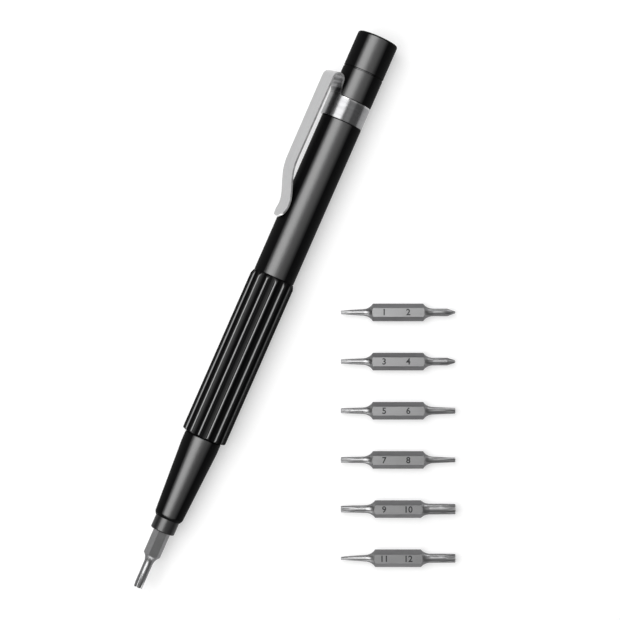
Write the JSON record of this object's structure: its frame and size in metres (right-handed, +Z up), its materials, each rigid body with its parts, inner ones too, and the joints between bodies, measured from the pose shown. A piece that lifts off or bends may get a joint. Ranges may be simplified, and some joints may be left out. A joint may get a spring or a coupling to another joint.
{
  "type": "pocket screwdriver",
  "caption": "Pen-shaped pocket screwdriver with a spin cap, pocket clip, fluted grip, magnetic hex bit holder and a store in its barrel, with its spare bits beside it.",
  "frame": {"origin": "tip of the fitted bit, on the pen's axis", "axes": "+Y along the pen from the bit's tip to the spin cap, +Z up from the surface that the pen and the spare bits lie on"},
  "size_m": [0.0831, 0.156, 0.0131],
  "materials": {
    "black_anodised": "satin black anodised",
    "grip_black": "satin black anodised, fluted",
    "holder_black": "turned, black oxide",
    "clip_steel": "satin stainless strip",
    "bit_steel": "satin tool steel",
    "magnet_nickel": "nickel plated",
    "plug_steel": "turned",
    "pad_rubber": "soft",
    "bush_brass": "turned",
    "washer_white": "smooth"
  },
  "bodies": {
    "handle": {"barrel": "black_anodised", "grip_sleeve": "grip_black", "nose_cone": "black_anodised", "bit_holder": "holder_black", "socket_magnet": "magnet_nickel", "magnet_plug": "plug_steel", "store_pad": "pad_rubber"},
    "clip": {"clip_band": "clip_steel"},
    "clip_spring": {"clip_arm": "clip_steel"},
    "tail": {"tail_sleeve": "black_anodised", "tail_pad": "pad_rubber", "swivel_bush": "bush_brass", "thrust_washer": "washer_white"},
    "cap": {"spin_cap": "black_anodised", "swivel_screw": "plug_steel"},
    "fitted_bit": {"driver_bit": "bit_steel"},
    "bit_lobe2_wing": {"spare_lobe2_wing": "bit_steel"},
    "bit_lobe3_cross": {"spare_lobe3_cross": "bit_steel"},
    "bit_lobe4_star15": {"spare_lobe4_star15": "bit_steel"},
    "bit_lobe5_star12": {"spare_lobe5_star12": "bit_steel"},
    "bit_lobe6_lobe10": {"spare_lobe6_lobe10": "bit_steel"},
    "bit_star08_lobe8": {"spare_star08_lobe8": "bit_steel"}
  },
  "joints": [
    {"name": "tail_draw", "type": "slide", "parent": "handle", "child": "clip", "axis": [0, 1, 0], "range_m": [0, 0.00675]},
    {"name": "tail_turn", "type": "hinge", "parent": "clip", "child": "tail", "pos_m": [0, 0.1322, 0], "axis": [0, 1, 0], "range_deg": [0, 3250]},
    {"name": "cap_spin", "type": "hinge", "parent": "tail", "child": "cap", "pos_m": [0, 0.146, 0], "axis": [0, 1, 0], "continuous": true},
    {"name": "clip_flex", "type": "hinge", "parent": "clip", "child": "clip_spring", "pos_m": [-0.00653, 0.1433, 0.00377], "axis": [-0.5, 0, -0.866], "range_deg": [0, 5], "stiffness_Nm_per_rad": 0.1, "springref_deg": -2.86},
    {"name": "bit_draw", "type": "slide", "parent": "handle", "child": "fitted_bit", "axis": [0, -1, 0], "range_m": [0, 0.0145]},
    {"name": "lobe2_wing_lift", "type": "slide", "parent": "handle", "child": "bit_lobe2_wing", "axis": [0, 0, 1], "range_m": [0, 0.02]},
    {"name": "lobe3_cross_lift", "type": "slide", "parent": "handle", "child": "bit_lobe3_cross", "axis": [0, 0, 1], "range_m": [0, 0.02]},
    {"name": "lobe4_star15_lift", "type": "slide", "parent": "handle", "child": "bit_lobe4_star15", "axis": [0, 0, 1], "range_m": [0, 0.02]},
    {"name": "lobe5_star12_lift", "type": "slide", "parent": "handle", "child": "bit_lobe5_star12", "axis": [0, 0, 1], "range_m": [0, 0.02]},
    {"name": "lobe6_lobe10_lift", "type": "slide", "parent": "handle", "child": "bit_lobe6_lobe10", "axis": [0, 0, 1], "range_m": [0, 0.02]},
    {"name": "star08_lobe8_lift", "type": "slide", "parent": "handle", "child": "bit_star08_lobe8", "axis": [0, 0, 1], "range_m": [0, 0.02]}
  ],
  "couplings": [
    {"joint": "tail_turn", "follows": "tail_draw", "rad_per_m": 8377.6}
  ]
}
